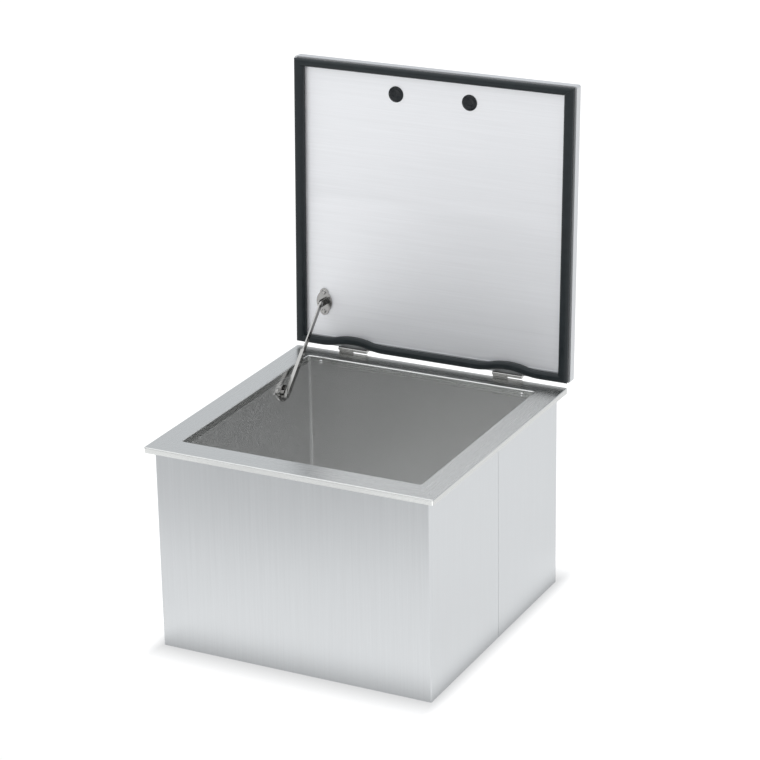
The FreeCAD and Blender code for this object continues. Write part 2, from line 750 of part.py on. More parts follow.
pieces = {
    "top_flange": make_top_flange(),
    "front_wrap": make_front_wrap(),
    "rear_wrap": make_rear_wrap(),
    "bottom_pan": make_bottom_pan(),
    "inner_liner": make_inner_liner(),
    "body_insulation": make_body_insulation(),
    "liner_rivets": make_liner_rivets(),
    "drain_body": make_drain_body(),
    "drain_gasket": make_drain_gasket(),
    "drain_locknut": make_drain_locknut(),
    "drain_stopper": make_drain_stopper(),
    "hinge_base_rivets": make_leaf_rivets(base_rivet_seats(), flange_sheet),
    "stay_wall_bracket": make_stay_wall_bracket(),
    "stay_wall_screws": make_stay_wall_screws(),
    "stay_upper_bar": make_stay_upper_bar(),
    "stay_channel": make_stay_channel(),
    "stay_elbow_rivet": headed_across(stay_elbow, channel_width / 2),
    "stay_foot_rivet": headed_across(stay_foot, channel_width / 2),
}
lid_pieces = {
    "lid_outer_shell": make_lid_outer_shell(),
    "lid_inner_panel": make_lid_inner_panel(),
    "lid_insulation": make_lid_insulation(),
    "lid_gasket": make_lid_gasket(),
    "handle_bar": make_handle_bar(),
    "handle_bolts": make_handle_bolts(),
    "handle_washers": make_handle_washers(),
    "hinge_lid_rivets": make_leaf_rivets(lid_rivet_seats(), lid_sheet),
    "stay_lid_bracket": make_stay_lid_bracket(),
    "stay_lid_screws": make_stay_lid_screws(),
    "stay_lid_pin": make_stay_lid_pin(),
}
for side, x in handle_xs.items():
    lid_pieces["hole_plug_" + side] = make_hole_plug(x)
    lid_pieces["handle_post_" + side] = make_handle_post(x)
for side, x in hinge_xs.items():
    pieces["hinge_base_leaf_" + side] = make_base_leaf(x)
    pieces["hinge_pin_" + side] = cross_rod(hinge_pin_radius, Vec(x, hinge_y, hinge_z), hinge_length / 2)
    lid_pieces["hinge_lid_leaf_" + side] = make_lid_leaf(x)
pieces.update({name: turn_open(shape) for name, shape in lid_pieces.items()})

os.makedirs("parts", exist_ok=True)
for name, shape in pieces.items():
    shape.exportStep("parts/" + name + ".step")
    print(name, len(shape.Solids), "valid" if shape.isValid() else "INVALID", round(shape.Volume))
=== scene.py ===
# %% [markdown]
# A drop-in cooler is an insulated steel tub that hangs in a counter top by its flange, under a hinged
# lid. Its pieces arrive as a fixed frame: one mesh for each piece, in metres, standing where it
# belongs. This lesson gives each piece its finish, models the rubber and the small fasteners as meshes
# of their own, and sets up the floor, the light and the camera of a plain studio picture.

# %% Load the frame
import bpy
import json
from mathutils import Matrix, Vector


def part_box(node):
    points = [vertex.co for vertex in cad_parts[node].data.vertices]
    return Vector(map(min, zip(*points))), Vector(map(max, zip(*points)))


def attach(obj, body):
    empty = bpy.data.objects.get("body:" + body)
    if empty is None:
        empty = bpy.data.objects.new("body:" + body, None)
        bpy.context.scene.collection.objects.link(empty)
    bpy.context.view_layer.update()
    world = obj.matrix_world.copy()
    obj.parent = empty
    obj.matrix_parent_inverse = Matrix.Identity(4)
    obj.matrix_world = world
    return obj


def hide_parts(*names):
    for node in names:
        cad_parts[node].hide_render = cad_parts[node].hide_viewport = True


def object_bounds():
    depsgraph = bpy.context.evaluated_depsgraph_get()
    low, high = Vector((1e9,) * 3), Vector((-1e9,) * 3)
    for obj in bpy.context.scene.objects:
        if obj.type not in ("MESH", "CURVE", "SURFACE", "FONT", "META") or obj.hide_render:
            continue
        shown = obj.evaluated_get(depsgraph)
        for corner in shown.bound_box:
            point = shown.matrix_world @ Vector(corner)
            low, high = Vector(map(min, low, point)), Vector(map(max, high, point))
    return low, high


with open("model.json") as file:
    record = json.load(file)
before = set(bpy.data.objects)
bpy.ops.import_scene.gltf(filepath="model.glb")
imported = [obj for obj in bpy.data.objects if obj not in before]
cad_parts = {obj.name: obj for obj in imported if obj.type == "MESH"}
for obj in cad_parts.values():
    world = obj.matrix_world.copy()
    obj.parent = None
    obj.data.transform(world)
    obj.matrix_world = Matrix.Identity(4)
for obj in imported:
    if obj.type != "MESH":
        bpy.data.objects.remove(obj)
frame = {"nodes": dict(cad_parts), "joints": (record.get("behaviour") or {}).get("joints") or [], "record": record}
cad_low, cad_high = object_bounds()
print("pieces in the frame:", len(frame["nodes"]), "box:", tuple(cad_low), tuple(cad_high))

# %% [markdown]
# The picture is taken with a long lens from above, standing to the right of the front. A camera could
# be dragged into place by hand. Working its place out from two viewing angles, a small roll and a
# distance keeps the numbers readable, and they can be changed one at a time.

# %% Camera
import math
import bpy
from mathutils import Matrix, Vector

VIEW_AZIMUTH = math.radians(27.04)
VIEW_ELEVATION = math.radians(20.97)
VIEW_ROLL = math.radians(-1.0)
VIEW_DISTANCE = 4.4458
VIEW_TARGET = Vector((0.0367, 0.0, 0.4194))
LENS_MM = 131.34
SENSOR_MM = 36.0


def view_axes(azimuth, elevation, roll):
    """Right, up and backward directions of a camera that looks at the target from these angles."""
    back = Vector((math.sin(azimuth) * math.cos(elevation), -math.cos(azimuth) * math.cos(elevation),
                   math.sin(elevation)))
    level = Vector((math.cos(azimuth), math.sin(azimuth), 0.0))
    upright = back.cross(level)
    right = level * math.cos(roll) + upright * math.sin(roll)
    return right, back.cross(right), back


def make_camera():
    lens = bpy.data.cameras.new("studio_camera")
    lens.sensor_width = SENSOR_MM
    lens.lens = LENS_MM
    camera = bpy.data.objects.new("studio_camera", lens)
    bpy.context.scene.collection.objects.link(camera)
    right, up, back = view_axes(VIEW_AZIMUTH, VIEW_ELEVATION, VIEW_ROLL)
    turn = Matrix((right, up, back)).transposed().to_4x4()
    camera.matrix_world = Matrix.Translation(VIEW_TARGET + back * VIEW_DISTANCE) @ turn
    bpy.context.scene.camera = camera
    return camera


camera = make_camera()
print("camera at", tuple(round(place, 3) for place in camera.location))

# %% [markdown]
# A real finish varies from place to place, and a tree of shader nodes can say how. The nodes could be
# wired one by one, which takes many lines for each finish. A few helpers keep the trees short: one
# starts a material and hands back its main shader, one adds a node and sets its sockets by name, and
# the others do small sums. Patterns read Object coordinates, which are metres in the frame, so a grain
# keeps its real size on every piece.

# %% Material helpers
def new_finish(name, **sockets):
    """Start a material. Sockets that are the same all over are set on the shader itself."""
    finish = bpy.data.materials.new(name)
    finish.use_nodes = True
    shader = finish.node_tree.nodes["Principled BSDF"]
    for socket, value in sockets.items():
        shader.inputs[socket.replace("_", " ")].default_value = value
    return finish, finish.node_tree, shader


def add_node(tree, kind, settings=None, **sockets):
    """Add a shader node with its settings, and with sockets set to a value or linked to another socket."""
    node = tree.nodes.new("ShaderNode" + kind)
    for setting, value in (settings or {}).items():
        setattr(node, setting, value)
    for socket, value in sockets.items():
        target = node.inputs[socket.replace("_", " ")]
        if isinstance(value, bpy.types.NodeSocket):
            tree.links.new(value, target)
        else:
            target.default_value = value
    return node


def reckon(tree, operation, *terms):
    """Math on one or two terms, each a number or the socket of another node."""
    node = add_node(tree, "Math", {"operation": operation})
    for socket, term in zip(node.inputs, terms):
        if isinstance(term, bpy.types.NodeSocket):
            tree.links.new(term, socket)
        else:
            socket.default_value = term
    return node.outputs[0]


def object_place(tree):
    return add_node(tree, "TexCoord").outputs["Object"]


def axis_part(tree, vector, axis):
    return add_node(tree, "SeparateXYZ", Vector=vector).outputs[axis]


def vector_length(tree, vector):
    return add_node(tree, "VectorMath", {"operation": "LENGTH"}, Vector=vector).outputs["Value"]


print("helpers for node trees ready")

# %% [markdown]
# Grain, dust and stains all come from the same few steps: a noise, a change of its span, a blend of two
# tones and a bump. Images could hold them too, but noise needs no file and no unwrapping, and it never
# runs out at a seam. Noise rarely reaches 0 or 1, so the steps that follow take a narrower span for its
# whole range.

# %% Patterns and bumps
NOISE_ROUGHNESS = 0.55
NOISE_SPAN = (0.3, 0.7)
RAMP_SPAN = (0.25, 0.75)


def pattern(tree, place, scale, detail=3.0):
    """Noise whose scale along X, Y and Z is given in waves per metre."""
    stretched = add_node(tree, "Mapping", Vector=place, Scale=scale)
    noise = add_node(tree, "TexNoise", Vector=stretched.outputs["Vector"], Scale=1.0, Detail=detail,
                     Roughness=NOISE_ROUGHNESS)
    return noise.outputs["Fac"]


def even_pattern(tree, place, waves, detail=3.0):
    """Noise of the same scale along all axes."""
    return pattern(tree, place, (waves,) * 3, detail)


def spread(tree, value, low, high, source=NOISE_SPAN):
    """Bring a value from one span, by default the usual one of noise, to another."""
    ranged = add_node(tree, "MapRange", Value=value, From_Min=source[0], From_Max=source[1],
                      To_Min=low, To_Max=high)
    return ranged.outputs["Result"]


def tone_ramp(tree, value, dark, light):
    """Colour between two tones, by a noise value."""
    ramp = add_node(tree, "ValToRGB", Fac=value)
    for end, position, tone in zip(ramp.color_ramp.elements, RAMP_SPAN, (dark, light)):
        end.position = position
        end.color = (*tone, 1.0)
    return ramp.outputs["Color"]


def bumps(tree, *layers):
    """Stack bump layers of height, distance in metres and strength, and return the last normal."""
    normal = None
    for height, distance, strength in layers:
        bump = add_node(tree, "Bump", Height=height, Distance=distance, Strength=strength)
        if normal is not None:
            tree.links.new(normal, bump.inputs["Normal"])
        normal = bump.outputs["Normal"]
    return normal


print("noise span:", NOISE_SPAN, "ramp span:", RAMP_SPAN)

# %% [markdown]
# A product picture on white is often taken on a light table, a white sheet that glows a little by
# itself, so that shadows stay faint. A white sheet under lamps would do too, but it goes grey away from
# them. Steel shows little but what it reflects, so the table draws most of the picture. Its glow is
# painted dimmer in one soft pool in front of the cooler, outside the picture, and the upper front of the
# casing shows that painted dim pool as a soft grey slope. A surface that glows takes hardly any shadow,
# so a painted shadow lowers the glow at the cooler's foot, where a real table has a soft shadow. A
# painted bright ring raises the glow a little round that shadow, so that the casing above it stays bright.

# %% Floor
FLOOR_SIZE = 24.0
FLOOR_TONE = (0.3, 0.3, 0.3, 1.0)
FLOOR_GLOW = (0.18, 0.85)
POOL_CENTRE = (-0.4, -1.2)
POOL_HALF = (0.9, 0.65)
POOL_FADE = (0.3, 1.0)
FOOT_SHARE = 0.52
FOOT_FADE = (0.034, 0.085)
RING_SHARE = 1.14
RING_END = 3.0


def foot_distance(tree, place):
    """Distance from the casing's outline, where 1 is the end of the fade at the foot."""
    low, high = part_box("front_wrap")[0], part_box("rear_wrap")[1]
    steps = (
        ("SUBTRACT", (low + high) / 2),
        ("ABSOLUTE", (0.0, 0.0, 0.0)),
        ("SUBTRACT", (high - low) / 2),
        ("MAXIMUM", (0.0, 0.0, 0.0)),
        ("DIVIDE", (*FOOT_FADE, 1.0)),
    )
    for operation, other in steps:
        step = add_node(tree, "VectorMath", {"operation": operation}, Vector=place)
        step.inputs[1].default_value = other
        place = step.outputs["Vector"]
    return vector_length(tree, place)


def painted_shadow_share(tree, place):
    """Share of the glow with painted shade: a painted shadow, low at the casing's foot, a painted bright ring over
    one round it, and one further out.
    """
    reach = foot_distance(tree, place)
    near = spread(tree, reach, FOOT_SHARE, RING_SHARE, source=(0.0, 1.0))
    far = spread(tree, reach, RING_SHARE, 1.0, source=(1.0, RING_END))
    return reckon(tree, "MINIMUM", near, far)


def light_table():
    finish, tree, shader = new_finish("light_table", Base_Color=FLOOR_TONE, Roughness=0.9,
                                      Specular_IOR_Level=0.0, Emission_Color=(1.0, 1.0, 1.0, 1.0))
    place = object_place(tree)
    pool = add_node(tree, "Mapping", {"vector_type": "TEXTURE"}, Vector=place,
                    Location=(*POOL_CENTRE, 0.0), Scale=(*POOL_HALF, 1.0))
    # Painted dim pool: the glow drops inside a soft patch in front of the cooler.
    reach = vector_length(tree, pool.outputs["Vector"])
    glow = spread(tree, reach, *FLOOR_GLOW, source=POOL_FADE)
    # A painted shadow at the foot and a painted bright ring round it scale the glow.
    shaded = reckon(tree, "MULTIPLY", glow, painted_shadow_share(tree, place))
    tree.links.new(shaded, shader.inputs["Emission Strength"])
    return finish


def make_floor():
    bpy.ops.mesh.primitive_plane_add(size=FLOOR_SIZE, location=(0.0, 0.0, cad_low.z))
    floor = bpy.context.object
    floor.name = "studio_floor"
    floor.data.materials.append(light_table())


make_floor()
print("floor:", FLOOR_SIZE, "m wide at height", cad_low.z)

# %% [markdown]
# A studio lights steel with large soft surfaces, because each lamp shows in it as a bright patch.
# Several small lamps would glare in the bright tub. So the air itself gives light, more from behind the
# cooler than from the front, and one very large soft box hangs high above and a little in front. The
# view transform is the plain one, which keeps white white.

# %% Air and soft box
AIR_TONE = (0.93, 0.96, 1.0, 1.0)
AIR_STRENGTH = (0.32, 0.95)
FRONT_TO_REAR = (-1.0, 1.0)
SOFTBOX_PLACE = Vector((0.1, -1.2, 3.6))
SOFTBOX_AIM = Vector((0.0, 0.2, 0.4))
SOFTBOX_SIZE = 8.0
SOFTBOX_POWER = 180.0


def make_air():
    world = bpy.data.worlds.new("studio_air")
    world.use_nodes = True
    tree = world.node_tree
    air = tree.nodes["Background"]
    air.inputs["Color"].default_value = AIR_TONE
    direction = add_node(tree, "TexCoord").outputs["Generated"]
    strength = spread(tree, axis_part(tree, direction, "Y"), *AIR_STRENGTH, source=FRONT_TO_REAR)
    tree.links.new(strength, air.inputs["Strength"])
    bpy.context.scene.world = world


def make_softbox():
    lamp = bpy.data.lights.new("key_softbox", "AREA")
    lamp.size = SOFTBOX_SIZE
    lamp.energy = SOFTBOX_POWER
    softbox = bpy.data.objects.new("key_softbox", lamp)
    bpy.context.scene.collection.objects.link(softbox)
    softbox.location = SOFTBOX_PLACE
    softbox.rotation_mode = "QUATERNION"
    softbox.rotation_quaternion = (SOFTBOX_AIM - SOFTBOX_PLACE).to_track_quat("-Z", "Y")


make_air()
make_softbox()
bpy.context.scene.view_settings.view_transform = "Standard"
print("soft box:", SOFTBOX_SIZE, "m wide,", SOFTBOX_POWER, "W")

# %% [markdown]
# Brushed stainless sheet gets its look from a belt that leaves fine lines one way. A picture of steel
# could be laid on, but it would repeat on large sheets. A noise that is squeezed across the lines and
# stretched along them gives the same grain without an end. It shifts the tone a little, changes the
# gloss and lifts a tiny bump. A second, broad noise bends the reflections as thin sheet does when it
# isn't quite flat.

# %% Brushed steel
GRAIN_FINE = 1500.0
GRAIN_COARSE = 420.0
GRAIN_ALONG = 7.0
GLOSS_PLAY = 0.05
SHEET_WAVE = 4.0
WAVE_STRENGTH = 0.5
LIFT_STRENGTH = 0.35


def grain_scale(along, waves):
    """Noise scale for a grain that runs along one axis."""
    return tuple(GRAIN_ALONG if axis == along else waves for axis in "XYZ")


def steel_grain(tree, place, along):
    """Mean of fine and coarse lines, as one value."""
    fine = pattern(tree, place, grain_scale(along, GRAIN_FINE))
    coarse = pattern(tree, place, grain_scale(along, GRAIN_COARSE), detail=2.0)
    return reckon(tree, "MULTIPLY", reckon(tree, "ADD", fine, coarse), 0.5)


def finish_steel(tree, shader, grain, place, tone, contrast, roughness, gloss_play, wave, lift):
    """Link the grain to tone, gloss and bump. The wave and the lift are heights in metres."""
    dark = tuple(channel * (1 - contrast) for channel in tone)
    light = tuple(min(1.0, channel * (1 + contrast)) for channel in tone)
    tree.links.new(tone_ramp(tree, grain, dark, light), shader.inputs["Base Color"])
    gloss = spread(tree, grain, roughness - gloss_play, roughness + gloss_play)
    tree.links.new(gloss, shader.inputs["Roughness"])
    broad = even_pattern(tree, place, SHEET_WAVE, detail=1.0)
    normal = bumps(tree, (broad, wave, WAVE_STRENGTH), (grain, lift, LIFT_STRENGTH))
    tree.links.new(normal, shader.inputs["Normal"])


def brushed_steel(name, along, tone, roughness, contrast=0.05, wave=0.0012, lift=0.00002,
                  anisotropy=0.5, turned=0.0, metallic=1.0, sheen=0.5):
    finish, tree, shader = new_finish(name, Metallic=metallic, Anisotropic=anisotropy,
                                      Anisotropic_Rotation=turned, Specular_IOR_Level=sheen)
    place = object_place(tree)
    grain = steel_grain(tree, place, along)
    finish_steel(tree, shader, grain, place, tone, contrast, roughness, GLOSS_PLAY, wave, lift)
    return finish


BRUSHED_SHEETS = {
    "casing_steel": dict(along="Z", tone=(0.59, 0.604, 0.614), roughness=0.36, anisotropy=0.6),
    "lid_steel": dict(along="X", tone=(0.56, 0.57, 0.58), roughness=0.34, turned=0.25, metallic=0.6),
    "panel_steel": dict(along="X", tone=(0.90, 0.905, 0.92), roughness=0.52, contrast=0.045,
                        anisotropy=0.3, turned=0.25, metallic=0.80, sheen=0.2),
    "drain_steel": dict(along="X", tone=(0.70, 0.71, 0.72), roughness=0.22, anisotropy=0.0),
    "bright_steel": dict(along="Z", tone=(0.40, 0.395, 0.385), roughness=0.18, contrast=0.04,
                         wave=0.0002, lift=0.000002, anisotropy=0.0),
}
finishes = {name: brushed_steel(name, **settings) for name, settings in BRUSHED_SHEETS.items()}
print("brushed finishes:", sorted(finishes))

# %% [markdown]
# The tub is folded from brushed sheet, so the grain runs level along all four walls. A noise has only
# one long direction, which would turn into dots on the two side walls. So two grains are made, one
# along X and one along Y, and the way that a wall faces picks between them.

# %% Tub steel
FACING_SPAN = (0.4, 0.6)


def two_way_grain(tree, place, side_mask):
    """Grain along X where the mask is 0, and along Y where it is 1."""
    grain = add_node(tree, "Mix", Factor=side_mask)
    tree.links.new(steel_grain(tree, place, "X"), grain.inputs["A"])
    tree.links.new(steel_grain(tree, place, "Y"), grain.inputs["B"])
    return grain.outputs["Result"]


def liner_steel():
    finish, tree, shader = new_finish("liner_steel", Metallic=0.88, Anisotropic=0.4)
    place = object_place(tree)
    facing = add_node(tree, "NewGeometry").outputs["True Normal"]
    sideways = reckon(tree, "ABSOLUTE", axis_part(tree, facing, "X"))
    grain = two_way_grain(tree, place, spread(tree, sideways, 0.0, 1.0, source=FACING_SPAN))
    finish_steel(tree, shader, grain, place, tone=(0.79, 0.792, 0.785), contrast=0.045, roughness=0.24,
                 gloss_play=0.02, wave=0.0012, lift=0.000002)
    return finish


finishes["liner_steel"] = liner_steel()
print("finishes with the tub's:", len(finishes))

# %% [markdown]
# The flange is a frame of four bent sides whose corners are mitred, welded and ground. Its grain
# follows each side, so it turns at the corners. Four pieces with a material each would show that, but
# the welded frame is one piece. So the two grains are mixed by a mask, which compares how far a point
# is from the outer edges of the sides and of the front. The down-turned lips at the front and rear get
# painted light: their tone is raised above the face's.

# %% Flange steel
flange_low, flange_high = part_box("top_flange")
FLANGE_HALF = ((flange_high - flange_low) / 2).xy
MITRE_LINE = 0.0004
LIP_BEND = 0.003
LIP_PAINTED_LIGHT = 1.6


def mitre_offset(tree, place):
    """Distance past the mitre line, positive on the left and right sides of the frame."""
    reach = []
    for axis, half in zip("XY", FLANGE_HALF):
        off_centre = reckon(tree, "ABSOLUTE", axis_part(tree, place, axis))
        reach.append(reckon(tree, "SUBTRACT", off_centre, half))
    return reckon(tree, "SUBTRACT", *reach)


def flange_steel():
    finish, tree, shader = new_finish("flange_steel", Metallic=1.0)
    place = object_place(tree)
    offset = mitre_offset(tree, place)
    side_mask = spread(tree, offset, 0.0, 1.0, source=(-MITRE_LINE, MITRE_LINE))
    grain = two_way_grain(tree, place, side_mask)
    finish_steel(tree, shader, grain, place, tone=(0.57, 0.575, 0.565), contrast=0.03, roughness=0.27,
                 gloss_play=0.02, wave=0.0006, lift=0.000008)
    # Painted light: the front and rear lips get a brighter tone than the face.
    toned = shader.inputs["Base Color"].links[0].from_socket
    full_painted_light = spread(tree, side_mask, LIP_PAINTED_LIGHT, 1.0, source=(0.0, 1.0))
    lip_painted_light = spread(tree, axis_part(tree, place, "Z"), full_painted_light, 1.0,
                      source=(flange_high.z - LIP_BEND, flange_high.z))
    painted_lip_tone = add_node(tree, "HueSaturation", Color=toned, Value=lip_painted_light)
    tree.links.new(painted_lip_tone.outputs["Color"], shader.inputs["Base Color"])
    return finish


finishes["flange_steel"] = flange_steel()
print("flange half sizes:", tuple(round(half, 4) for half in FLANGE_HALF))

# %% [markdown]
# Rubber is dark and scatters a soft sheen. One flat black would be the short way, but clean black
# rubber looks like a hole in the picture. A fine grain breaks the sheen, and a broader noise leaves
# paler, dustier patches.

# %% Rubber
DUST_WAVES = 60.0
DUST_GLOSS = (-0.06, 0.08)
SKIN_WAVES = 2600.0
SKIN_LIFT = 0.00006
SKIN_STRENGTH = 0.4
RUBBERS = {
    "seal_rubber": dict(dark=(0.009, 0.013, 0.015), dusty=(0.016, 0.022, 0.025), roughness=0.42),
    "plug_rubber": dict(dark=(0.006, 0.008, 0.010), dusty=(0.012, 0.015, 0.018), roughness=0.28),
    "stopper_rubber": dict(dark=(0.020, 0.021, 0.022), dusty=(0.036, 0.037, 0.038), roughness=0.50),
}


def rubber(name, dark, dusty, roughness):
    finish, tree, shader = new_finish(name, Specular_IOR_Level=0.3)
    place = object_place(tree)
    dust = even_pattern(tree, place, DUST_WAVES, detail=4.0)
    skin = even_pattern(tree, place, SKIN_WAVES, detail=2.0)
    gloss = spread(tree, dust, *(roughness + change for change in DUST_GLOSS))
    tree.links.new(tone_ramp(tree, dust, dark, dusty), shader.inputs["Base Color"])
    tree.links.new(gloss, shader.inputs["Roughness"])
    tree.links.new(bumps(tree, (skin, SKIN_LIFT, SKIN_STRENGTH)), shader.inputs["Normal"])
    return finish


for rubber_name, settings in RUBBERS.items():
    finishes[rubber_name] = rubber(rubber_name, **settings)
print("rubbers:", sorted(RUBBERS))

# %% [markdown]
# The foam fills the walls and the lid and never shows, so one plain colour would be enough. It still
# gets its cells and a few stains, for whoever takes the cooler apart.

# %% Foam
FOAM_DARK = (0.66, 0.55, 0.33)
FOAM_LIGHT = (0.80, 0.70, 0.46)
STAIN_WAVES = 25.0
CELL_WAVES = 700.0
CELL_DEPTH = 0.0006
CELL_STRENGTH = 0.6


def foam():
    finish, tree, shader = new_finish("foam", Roughness=0.9)
    place = object_place(tree)
    cells = add_node(tree, "TexVoronoi", Vector=place, Scale=CELL_WAVES).outputs["Distance"]
    stain = even_pattern(tree, place, STAIN_WAVES)
    tree.links.new(tone_ramp(tree, stain, FOAM_DARK, FOAM_LIGHT), shader.inputs["Base Color"])
    tree.links.new(bumps(tree, (cells, CELL_DEPTH, CELL_STRENGTH)), shader.inputs["Normal"])
    return finish


finishes["foam"] = foam()
print("finishes:", len(finishes))

# %% [markdown]
# Each piece of the cooler has one finish. A list of names and finishes could be typed here, but the
# record already says which material slot each piece takes. Walking through it puts a finish on every
# piece of the frame without a second list that could fall out of step.

# %% Dress the frame
slots = {part["node"]: part["material_slot"] for part in frame["record"]["subparts"]}


def dress(piece, finish):
    piece.data.materials.clear()
    piece.data.materials.append(finish)


for node_name, piece in frame["nodes"].items():
    dress(piece, finishes[slots[node_name]])
print("dressed pieces:", len(slots))

# %% [markdown]
# The next steps model pieces in place of plainer ones of the frame. The lid stands open and
# leans a little, so its pieces could be drawn on the slant. They are easier to draw with the lid shut,
# where their sides lie along the axes, so they are drawn shut and then turned open about the hinge.

# %% Lid, shut and open
lid_hinge = next(joint for joint in frame["joints"] if joint["name"] == "lid_hinge")
hinge_place = Matrix.Translation(lid_hinge["pos_m"])
shut_angle = math.radians(lid_hinge["range_deg"][1])
shut_turn = Matrix.Rotation(shut_angle, 4, Vector(lid_hinge["axis"]))
LID_SHUT = hinge_place @ shut_turn @ hinge_place.inverted()
LID_OPEN = LID_SHUT.inverted()


def shut_box(node):
    """Lowest and highest corner of a lid piece, as if the lid were shut."""
    places = [LID_SHUT @ corner.co for corner in frame["nodes"][node].data.vertices]
    lows = Vector([min(place[axis] for place in places) for axis in range(3)])
    highs = Vector([max(place[axis] for place in places) for axis in range(3)])
    return lows, highs


print("seal, shut:", shut_box("lid_gasket"))

# %% [markdown]
# Seal, plugs, rivets and screws all start as a section, a line of a few points with some corners
# rounded. Editing by hand would start with the same line. The helpers take sizes in millimetres, as a
# drawing gives them. Every finished piece rides on a body of the frame and wears the finish of the
# piece of the frame that it replaces, which it hides.

# %% Piece helpers
import bmesh

MM = 0.001
ROUND_STEPS = 6
CREASE = math.radians(35.0)


def draw_line(work, points, closed=False):
    """Chain of edges through points in the XZ plane, given in millimetres."""
    corners = [work.verts.new((x * MM, 0.0, z * MM)) for x, z in points]
    pairs = list(zip(corners, corners[1:]))
    if closed:
        pairs.append((corners[-1], corners[0]))
    for pair in pairs:
        work.edges.new(pair)
    return corners


def draw_section(work, points, rounds, closed=False):
    """Draw a line and round some of its corners, given as index and radius."""
    corners = draw_line(work, points, closed)
    for index, radius in rounds.items():
        bmesh.ops.bevel(work, geom=[corners[index]], offset=radius * MM, offset_type="OFFSET",
                        segments=ROUND_STEPS, profile=0.5, affect="VERTICES", material=-1)


def gathered(works):
    """Join several mesh works into one."""
    whole = bmesh.new()
    for work in works:
        loose = bpy.data.meshes.new("loose")
        work.to_mesh(loose)
        work.free()
        whole.from_mesh(loose)
        bpy.data.meshes.remove(loose)
    return whole


def add_piece(name, work, body, *nodes):
    """Make mesh work a piece that rides a body and wears the finish of the nodes that it replaces."""
    bmesh.ops.recalc_face_normals(work, faces=work.faces)
    for face in work.faces:
        face.smooth = True
    for edge in work.edges:
        edge.smooth = edge.calc_face_angle(0.0) < CREASE
    mesh = bpy.data.meshes.new(name)
    work.to_mesh(mesh)
    work.free()
    piece = bpy.data.objects.new(name, mesh)
    bpy.context.scene.collection.objects.link(piece)
    slot = slots[nodes[0]]
    mesh.materials.append(finishes[slot])
    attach(piece, body)
    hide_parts(*nodes)
    print(name, "faces:", len(mesh.polygons))


print("corners are rounded in", ROUND_STEPS, "steps")

# %% [markdown]
# The lid seal is a rubber profile that is extruded by the metre, cut on the slant and joined at the
# corners. A curve with a bevelled section would run round the corners in one piece and show no joints.
# So each side is made as the real one is: the section is drawn, pulled along the side, cut by two
# slanting planes and capped. The hair of a gap that is left at each mitre shows as the fine line of the
# joint.

# %% Side of the seal
SEAL_SECTION = [(1.2, 0.0), (1.0, -3.0), (0.0, -7.0), (2.6, -10.2), (8.4, -10.7), (14.4, -9.8),
                (16.8, -6.4), (16.8, -3.4), (16.1, -2.8), (16.8, -2.2), (16.8, 0.0)]
SEAL_ROUNDS = {2: 1.6, 3: 2.2, 4: 3.0, 5: 2.2, 6: 1.4}
SEAL_WIDTH = SEAL_SECTION[-1][0]
SEAL_JOINT = 0.00012
WELD = 1e-7


def cut_slant(work, end, half_length, width, next_width):
    """Cut one end of a side along the mitre between its own width and the next side's."""
    bmesh.ops.bisect_plane(work, geom=work.verts[:] + work.edges[:] + work.faces[:], dist=WELD,
                           plane_co=(end * (half_length - SEAL_JOINT), 0, 0),
                           plane_no=(end * width, next_width, 0), clear_outer=True)


def seal_side(half_length, reach, width, next_width, turn, steps):
    """One side of the seal, drawn along X with its outer edge at Y = -reach, then turned into place."""
    work = bmesh.new()
    draw_section(work, SEAL_SECTION, SEAL_ROUNDS, closed=True)
    bmesh.ops.scale(work, verts=work.verts, vec=(width / SEAL_WIDTH, 1.0, 1.0))
    bmesh.ops.rotate(work, verts=work.verts, cent=(0, 0, 0), matrix=Matrix.Rotation(math.pi / 2, 3, "Z"))
    bmesh.ops.translate(work, verts=work.verts, vec=(-half_length, 0, 0))
    step = Vector((2 * half_length / steps, 0, 0))
    bmesh.ops.spin(work, geom=work.verts[:] + work.edges[:], cent=(0, 0, 0), axis=(0, 0, 1), dvec=step,
                   angle=0.0, steps=steps, use_merge=False, use_duplicate=False)
    for end in (-1, 1):
        cut_slant(work, end, half_length, width, next_width)
    bmesh.ops.holes_fill(work, edges=[edge for edge in work.edges if edge.is_boundary], sides=0)
    bmesh.ops.translate(work, verts=work.verts, vec=(0, -reach, 0))
    bmesh.ops.rotate(work, verts=work.verts, cent=(0, 0, 0), matrix=Matrix.Rotation(turn, 3, "Z"))
    return work


print("seal section:", len(SEAL_SECTION), "corners,", SEAL_WIDTH, "mm wide")

# %% [markdown]
# Four sides make the ring of the seal. The front and rear sides are squeezed narrower, and the cutting
# planes slant to suit. On the real lid the rear side bows inwards round each hinge. A lattice could
# bend it, but each bow is four plain arcs, so the side is pulled out in many short steps and each point
# is moved by a formula.

# %% Lid seal
CROSS_WIDTH = 13.2
FRONT_INSET = 1.5
REAR_STEPS = 170
WAVE_DEPTH = 0.0075
WAVE_HALF = 0.060
seal_low, seal_high = shut_box("lid_gasket")
seal_low.y += FRONT_INSET * MM
hinge_centres = [sum(end.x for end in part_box("hinge_pin_" + side)) / 2 for side in ("left", "right")]


def wave_bow(x):
    """How far the rear side bows inwards at x: four arcs that meet in a smooth line round each hinge."""
    sweep = (WAVE_HALF ** 2 + WAVE_DEPTH ** 2) / (4 * WAVE_DEPTH)
    off = min(abs(x - centre) for centre in hinge_centres)
    if off >= WAVE_HALF:
        return 0.0
    if off >= WAVE_HALF / 2:
        return sweep - math.sqrt(sweep ** 2 - (WAVE_HALF - off) ** 2)
    return WAVE_DEPTH - sweep + math.sqrt(sweep ** 2 - off ** 2)


